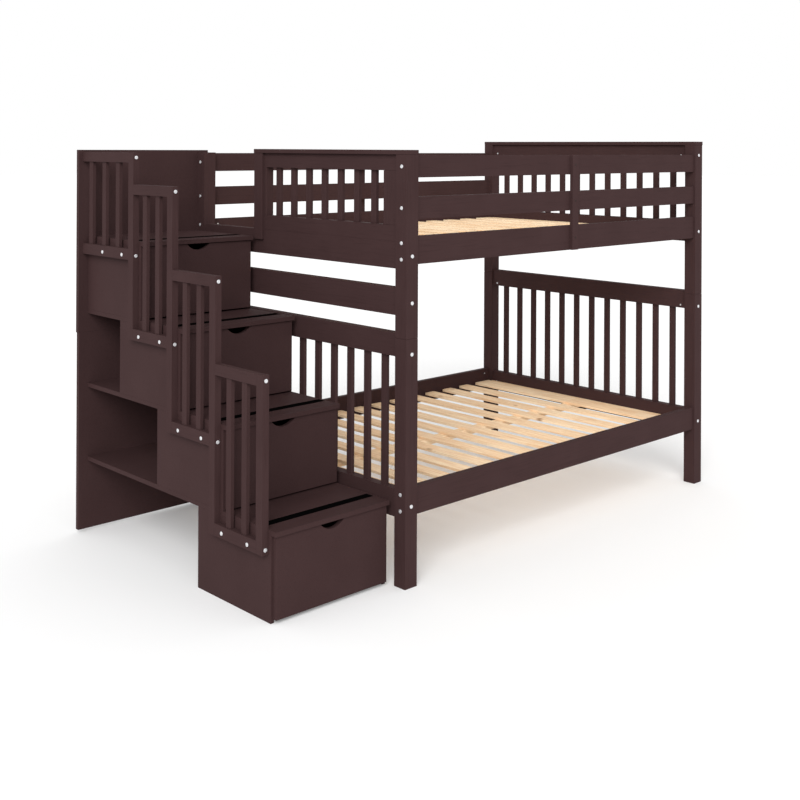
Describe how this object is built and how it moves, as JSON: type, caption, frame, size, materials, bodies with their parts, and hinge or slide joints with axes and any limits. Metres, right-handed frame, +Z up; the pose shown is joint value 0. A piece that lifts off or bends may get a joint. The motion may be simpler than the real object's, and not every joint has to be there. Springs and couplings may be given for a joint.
{
  "type": "bunk bed with storage stairs",
  "caption": "Full-over-full wooden bunk bed with slatted head and foot panels, guard rails, and a staircase of stacked drawer cabinets with its own guards.",
  "frame": {"origin": "on the floor, under the middle of the whole bed and stairs", "axes": "+X from the stairs to the headboard, along the mattress; +Y from the open front to the wall side; +Z up"},
  "size_m": [2.6544, 1.489, 1.73],
  "materials": {
    "espresso_paint": "satin dark brown paint over pine and board",
    "pine": "bare planed pine",
    "drawer_board": "dark brown painted board",
    "grip_strip": "matt black anti-slip strip",
    "zinc_steel": "bright zinc plate"
  },
  "bodies": {
    "root": {"anti_slip_strips": "grip_strip", "barrel_nuts": "zinc_steel", "beam_blocks": "espresso_paint", "cabinet_backs": "espresso_paint", "cabinet_bottom": "espresso_paint", "cabinet_sides": "espresso_paint", "centre_beams": "pine", "connector_bolts": "zinc_steel", "drawer_runners": "espresso_paint", "foot_end_rail": "espresso_paint", "foot_guard_balusters": "espresso_paint", "foot_guard_bottom_rail": "espresso_paint", "foot_guard_cap": "espresso_paint", "foot_guard_entry_post": "espresso_paint", "foot_guard_stiles": "espresso_paint", "foot_guard_top_rail": "espresso_paint", "foot_middle_board": "espresso_paint", "footboard_balusters": "espresso_paint", "footboard_bottom_rail": "espresso_paint", "footboard_top_rail": "espresso_paint", "guard_rails": "espresso_paint", "guard_screws": "zinc_steel", "guard_supports": "espresso_paint", "headboard_balusters": "espresso_paint", "headboard_bottom_rail": "espresso_paint", "headboard_top_rail": "espresso_paint", "lower_back_panel": "espresso_paint", "lower_post_front_foot": "espresso_paint", "lower_post_front_head": "espresso_paint", "lower_post_rear_foot": "espresso_paint", "lower_post_rear_head": "espresso_paint", "lower_side_rails": "espresso_paint", "lower_slats": "pine", "post_joining_pins": "zinc_steel", "slat_ledges": "espresso_paint", "stair_guard_balusters": "espresso_paint", "stair_guard_bottom_rails": "espresso_paint", "stair_guard_posts": "espresso_paint", "stair_guard_top_rails": "espresso_paint", "stair_shelves": "espresso_paint", "stair_treads": "espresso_paint", "upper_back_panel": "espresso_paint", "upper_headboard_balusters": "espresso_paint", "upper_headboard_bottom_rail": "espresso_paint", "upper_headboard_cap": "espresso_paint", "upper_headboard_top_rail": "espresso_paint", "upper_post_front_foot": "espresso_paint", "upper_post_front_head": "espresso_paint", "upper_post_rear_foot": "espresso_paint", "upper_post_rear_head": "espresso_paint", "upper_side_rails": "espresso_paint", "upper_slats": "pine"},
    "drawer_1": {"drawer_1_front": "espresso_paint", "drawer_1_box": "drawer_board"},
    "drawer_2": {"drawer_2_front": "espresso_paint", "drawer_2_box": "drawer_board"},
    "drawer_3": {"drawer_3_front": "espresso_paint", "drawer_3_box": "drawer_board"},
    "drawer_4": {"drawer_4_front": "espresso_paint", "drawer_4_box": "drawer_board"}
  },
  "joints": [
    {"name": "drawer_1_slide", "type": "slide", "parent": "root", "child": "drawer_1", "axis": [0, -1, 0], "range_m": [0, 0.33]},
    {"name": "drawer_2_slide", "type": "slide", "parent": "root", "child": "drawer_2", "axis": [0, -1, 0], "range_m": [0, 0.33]},
    {"name": "drawer_3_slide", "type": "slide", "parent": "root", "child": "drawer_3", "axis": [0, -1, 0], "range_m": [0, 0.33]},
    {"name": "drawer_4_slide", "type": "slide", "parent": "root", "child": "drawer_4", "axis": [0, -1, 0], "range_m": [0, 0.33]}
  ]
}
